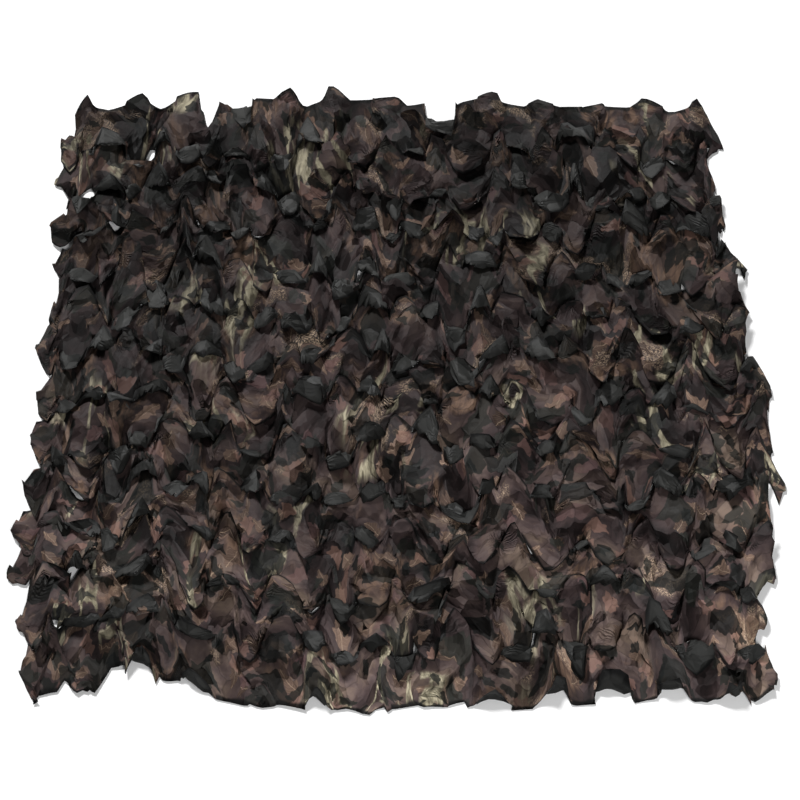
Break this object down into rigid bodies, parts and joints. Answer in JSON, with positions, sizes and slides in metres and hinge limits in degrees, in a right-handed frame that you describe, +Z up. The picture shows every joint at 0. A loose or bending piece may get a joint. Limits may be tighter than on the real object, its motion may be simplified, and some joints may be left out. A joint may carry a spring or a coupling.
{
  "type": "camouflage net",
  "caption": "Leaf-cut camouflage net: one printed cloth with rows of wave-shaped slits, laid out flat so that its leaves stand up and roll over.",
  "frame": {"origin": "middle of the net's outline in plan, on the ground that it lies on", "axes": "+X along the rows of slits, +Y from the front edge to the back edge, +Z up from the ground; the printed side faces +Z"},
  "size_m": [1.5092, 1.3544, 0.0538],
  "materials": {
    "camouflage_cloth": "matte"
  },
  "bodies": {
    "root": {"net_cloth": "camouflage_cloth"}
  },
  "joints": []
}
